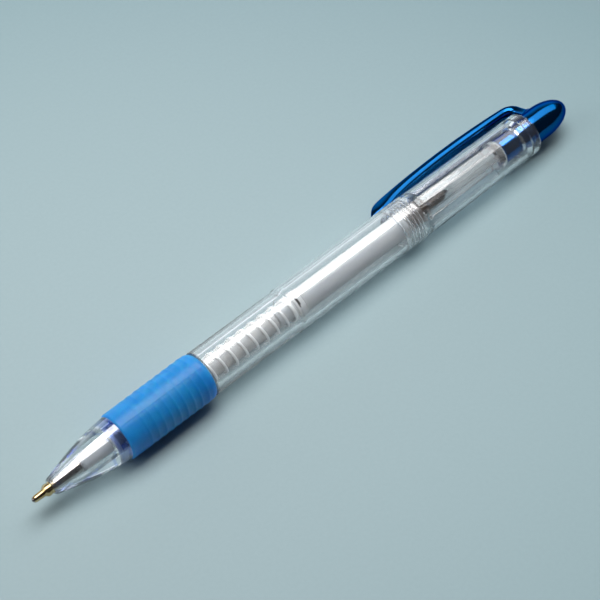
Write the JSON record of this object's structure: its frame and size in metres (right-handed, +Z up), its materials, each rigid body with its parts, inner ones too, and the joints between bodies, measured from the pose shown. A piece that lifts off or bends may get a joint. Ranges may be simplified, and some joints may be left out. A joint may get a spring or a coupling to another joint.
{
  "type": "retractable ballpoint pen",
  "caption": "Clear-barrelled click ballpoint pen with a soft ribbed grip, a sprung pocket clip, a push button and a refill that slides, locks and retracts.",
  "frame": {"origin": "centre of the pen's footprint on the table it lies on, at the bottom of the bounding box", "axes": "+X along the pen from the writing tip to the push button, +Z up from the table, the pocket clip on the +Y side"},
  "size_m": [0.142, 0.0148, 0.01],
  "materials": {
    "clear_plastic": "clear, polished, water-white moulding",
    "blue_grip": "soft satin translucent sleeve with fine ribs",
    "steel_ball": "polished ball",
    "brass": "turned and polished",
    "natural_tube": "natural, slightly milky",
    "white_plastic": "white, semi-gloss",
    "ink": "dark ink",
    "grease": "pale grease plug",
    "spring_steel": "bright drawn wire",
    "dark_plastic": "very dark brown, polished",
    "blue_metallised": "mirror-bright tinted blue over plastic"
  },
  "bodies": {
    "barrel": {"lower_barrel": "clear_plastic", "upper_barrel": "clear_plastic", "grip_sleeve": "blue_grip", "return_spring": "spring_steel"},
    "refill": {"brass_point": "brass", "refill_neck": "natural_tube", "refill_adapter": "white_plastic", "refill_reservoir": "white_plastic", "tail_plug": "white_plastic", "ink_column": "ink", "grease_follower": "grease"},
    "ball": {"writing_ball": "steel_ball"},
    "rotor": {"cam_rotor": "dark_plastic"},
    "button": {"push_button": "blue_metallised", "push_rod": "natural_tube"},
    "clip": {"pocket_clip": "blue_metallised"}
  },
  "joints": [
    {"name": "button_press", "type": "slide", "parent": "barrel", "child": "button", "axis": [1, 0, 0], "range_m": [-0.001, 0.005], "stiffness_N_per_m": 60},
    {"name": "refill_slide", "type": "slide", "parent": "barrel", "child": "refill", "axis": [1, 0, 0], "range_m": [-0.0011, 0.0051], "deforming": ["return_spring"]},
    {"name": "rotor_turn", "type": "hinge", "parent": "refill", "child": "rotor", "pos_m": [0.02305, -0.00237, 0.005], "axis": [1, 0, 0], "range_deg": [-10, 46]},
    {"name": "ball_roll", "type": "hinge", "parent": "refill", "child": "ball", "pos_m": [-0.07045, -0.00237, 0.005], "axis": [0, 1, 0], "continuous": true},
    {"name": "clip_flex", "type": "hinge", "parent": "button", "child": "clip", "pos_m": [0.0636, 0.00291, 0.00314], "axis": [0, -0.3313, -0.9435], "range_deg": [0, 4], "stiffness_Nm_per_rad": 0.6}
  ],
  "couplings": [
    {"joint": "refill_slide", "follows": "button_press", "ratio": 1},
    {"joint": "rotor_turn", "follows": "button_press", "rad_per_m": 157.08}
  ]
}
